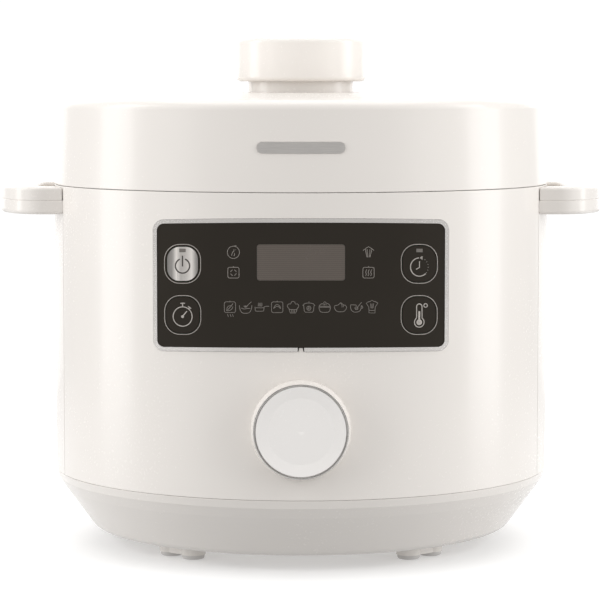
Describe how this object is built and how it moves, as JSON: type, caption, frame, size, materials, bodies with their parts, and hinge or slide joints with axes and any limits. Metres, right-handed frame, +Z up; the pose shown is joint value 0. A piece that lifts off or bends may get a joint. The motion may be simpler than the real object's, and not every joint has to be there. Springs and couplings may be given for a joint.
{
  "type": "electric pressure cooker",
  "caption": "Round electric pressure cooker with a twist-lock knob lid, loop side handles, a dark key panel with display, a front dial and a removable inner pot.",
  "frame": {"origin": "on the standing surface, in the centre of the cooker's outline", "axes": "+Z up, control panel and dial face -Y, handles along X"},
  "size_m": [0.342, 0.3, 0.286],
  "materials": {
    "white_gloss": "glossy warm white moulded plastic",
    "white_soft": "soft white non-slip pads",
    "panel_black": "polished warm black",
    "chrome_trim": "polished chrome plate",
    "brushed_key": "vertically brushed metal",
    "lcd_glass": "unlit grey-brown display",
    "satin_silver": "satin silver",
    "steel": "brushed stainless steel",
    "aluminium": "spun aluminium",
    "cast_aluminium": "cast and machined aluminium",
    "element_steel": "heat-darkened steel sheath",
    "spring_steel": "drawn spring wire",
    "inner_white": "satin white plastic",
    "black_plastic": "satin black plastic",
    "board_green": "green soldered board",
    "winding": "enamelled winding and dark core",
    "wire": "insulated wire",
    "silicone": "translucent grey silicone",
    "brass_parts": "machined brass",
    "smoke_plastic": "frosted translucent plastic",
    "red_plastic": "red indicator plastic"
  },
  "bodies": {
    "housing": {"base_shell": "white_gloss", "foot_pads": "white_soft", "base_screws": "steel", "liner_posts": "steel", "front_housing": "white_gloss", "rear_housing": "white_gloss", "top_ring": "inner_white", "locking_ring": "steel", "outer_liner": "aluminium", "heat_shield": "aluminium", "heating_plate": "cast_aluminium", "heating_element": "element_steel", "sensor_housing": "aluminium", "sensor_spring": "spring_steel", "thermal_fuse": "inner_white", "panel_bezel": "chrome_trim", "panel_window": "panel_black", "panel_carrier": "black_plastic", "lcd_module": "lcd_glass", "control_boards": "board_green", "key_switches": "black_plastic", "encoder": "steel", "dial_surround": "white_gloss", "power_board": "board_green", "transformer": "winding", "wiring_harness": "wire", "inlet_socket": "black_plastic", "inlet_pins": "brass_parts", "left_handle_upper": "white_gloss", "left_handle_lower": "white_gloss", "right_handle_upper": "white_gloss", "right_handle_lower": "white_gloss", "handle_screws": "steel", "collector_bracket": "inner_white"},
    "sensor": {"sensor_cap": "aluminium"},
    "dial": {"dial_shaft": "steel", "dial_body": "white_gloss", "dial_ring": "chrome_trim", "dial_cap": "white_gloss"},
    "power_button": {"power_key": "brushed_key"},
    "delay_button": {"delay_key": "panel_black"},
    "timer_button": {"timer_key": "panel_black"},
    "temperature_button": {"temperature_key": "panel_black"},
    "collector": {"condensate_cup": "smoke_plastic"},
    "pot": {"cooking_pot": "steel"},
    "seal": {"sealing_ring": "silicone"},
    "lid": {"lid_cover": "white_gloss", "lid_base": "inner_white", "lid_plate": "steel", "inner_lid": "aluminium", "inner_lid_grommet": "silicone", "lid_badge": "satin_silver", "knob_neck": "white_gloss", "knob_cap": "white_gloss", "lid_screws": "steel", "steam_pipe": "steel", "float_bush": "brass_parts"},
    "valve": {"pressure_valve": "black_plastic"},
    "float": {"float_pin": "red_plastic", "float_seal": "silicone"}
  },
  "joints": [
    {"name": "pot_lift", "type": "slide", "parent": "housing", "child": "pot", "axis": [0, 0, 1], "range_m": [0, 0.2]},
    {"name": "lid_lift", "type": "slide", "parent": "pot", "child": "seal", "axis": [0, 0, 1], "range_m": [0, 0.2]},
    {"name": "lid_turn", "type": "hinge", "parent": "seal", "child": "lid", "pos_m": [0, 0, 0.2], "axis": [0, 0, 1], "range_deg": [0, 30]},
    {"name": "valve_turn", "type": "hinge", "parent": "lid", "child": "valve", "pos_m": [0, 0.078, 0.26], "axis": [0, 0, 1], "range_deg": [0, 60]},
    {"name": "float_rise", "type": "slide", "parent": "lid", "child": "float", "axis": [0, 0, 1], "range_m": [0, 0.004]},
    {"name": "dial_turn", "type": "hinge", "parent": "housing", "child": "dial", "pos_m": [0, -0.145, 0.0795], "axis": [0, -1, 0], "continuous": true},
    {"name": "power_press", "type": "slide", "parent": "housing", "child": "power_button", "axis": [0, 0.9971, -0.0767], "range_m": [0, 0.0008], "stiffness_N_per_m": 300},
    {"name": "delay_press", "type": "slide", "parent": "housing", "child": "delay_button", "axis": [0, 0.9971, -0.0767], "range_m": [0, 0.0008], "stiffness_N_per_m": 300},
    {"name": "timer_press", "type": "slide", "parent": "housing", "child": "timer_button", "axis": [0, 0.9971, -0.0767], "range_m": [0, 0.0008], "stiffness_N_per_m": 300},
    {"name": "temperature_press", "type": "slide", "parent": "housing", "child": "temperature_button", "axis": [0, 0.9971, -0.0767], "range_m": [0, 0.0008], "stiffness_N_per_m": 300},
    {"name": "cup_pull", "type": "slide", "parent": "housing", "child": "collector", "axis": [0, 1, 0], "range_m": [0, 0.06]},
    {"name": "sensor_dip", "type": "slide", "parent": "housing", "child": "sensor", "axis": [0, 0, 1], "range_m": [-0.002, 0], "stiffness_N_per_m": 400, "deforming": ["sensor_spring"]}
  ]
}
